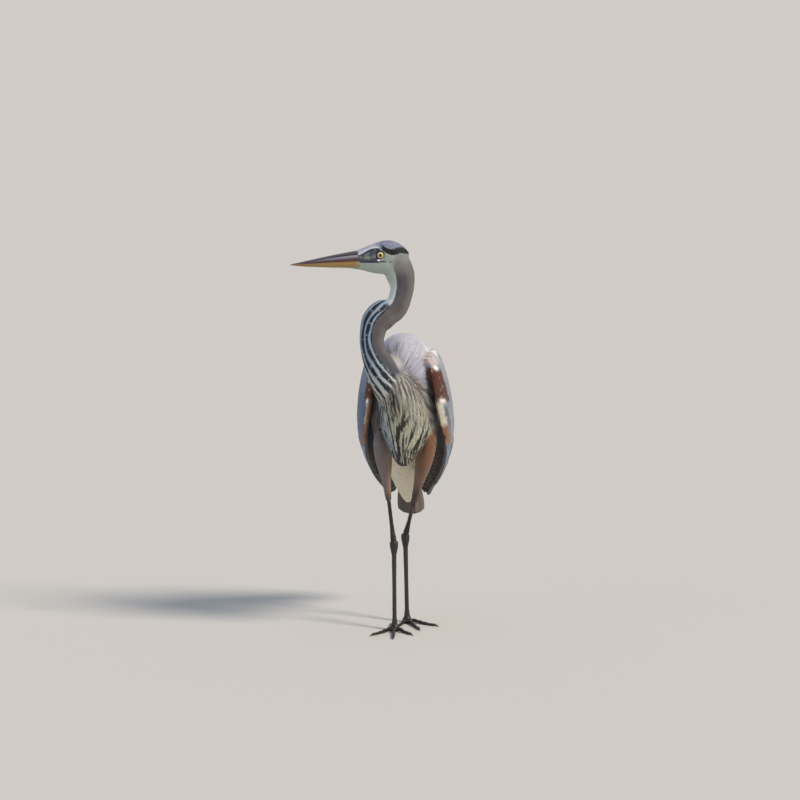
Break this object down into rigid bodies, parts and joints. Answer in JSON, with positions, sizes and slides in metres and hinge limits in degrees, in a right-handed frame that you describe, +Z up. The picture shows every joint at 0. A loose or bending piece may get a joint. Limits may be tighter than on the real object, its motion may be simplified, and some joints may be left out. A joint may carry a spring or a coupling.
{
  "type": "great blue heron",
  "caption": "Standing great blue heron, life size, head turned over its right side, neck in an S, wings folded, long bare legs.",
  "frame": {"origin": "middle of the right foot's sole, on the floor", "axes": "+Z up; the bird's body faces -Y and its left side is at +X"},
  "size_m": [0.3354, 0.4334, 0.8404],
  "materials": {
    "plumage_grey": "soft matt feathers, blue-grey",
    "plumage_pale": "soft matt feathers, grey-white and cream",
    "plumage_neck": "soft matt feathers, grey-brown with black streaks down a white throat",
    "plumage_rufous": "soft matt feathers, rusty brown",
    "bill_dark": "satin horn, slate to maroon-black",
    "bill_yellow": "satin horn, yellow-orange",
    "eye": "wet gloss, yellow iris round a black pupil",
    "leg_skin": "scaled bare skin, dark brown",
    "claw": "satin black horn"
  },
  "bodies": {
    "root": {"head": "plumage_grey", "bill_upper": "bill_dark", "bill_lower": "bill_yellow", "eye_left": "eye", "eye_right": "eye", "neck_upper": "plumage_neck", "neck_middle": "plumage_neck", "neck_lower": "plumage_neck", "breast_plumes": "plumage_pale", "trunk": "plumage_pale", "wing_left": "plumage_grey", "wing_right": "plumage_grey", "tail": "plumage_grey", "thigh_left": "plumage_rufous", "thigh_right": "plumage_rufous", "shin_left": "leg_skin", "shin_right": "leg_skin", "tarsus_left": "leg_skin", "tarsus_right": "leg_skin", "toe_left_middle": "leg_skin", "toe_left_outer": "leg_skin", "toe_left_inner": "leg_skin", "toe_left_hind": "leg_skin", "toe_right_middle": "leg_skin", "toe_right_outer": "leg_skin", "toe_right_inner": "leg_skin", "toe_right_hind": "leg_skin", "claw_left_middle": "claw", "claw_left_outer": "claw", "claw_left_inner": "claw", "claw_left_hind": "claw", "claw_right_middle": "claw", "claw_right_outer": "claw", "claw_right_inner": "claw", "claw_right_hind": "claw"}
  },
  "joints": []
}
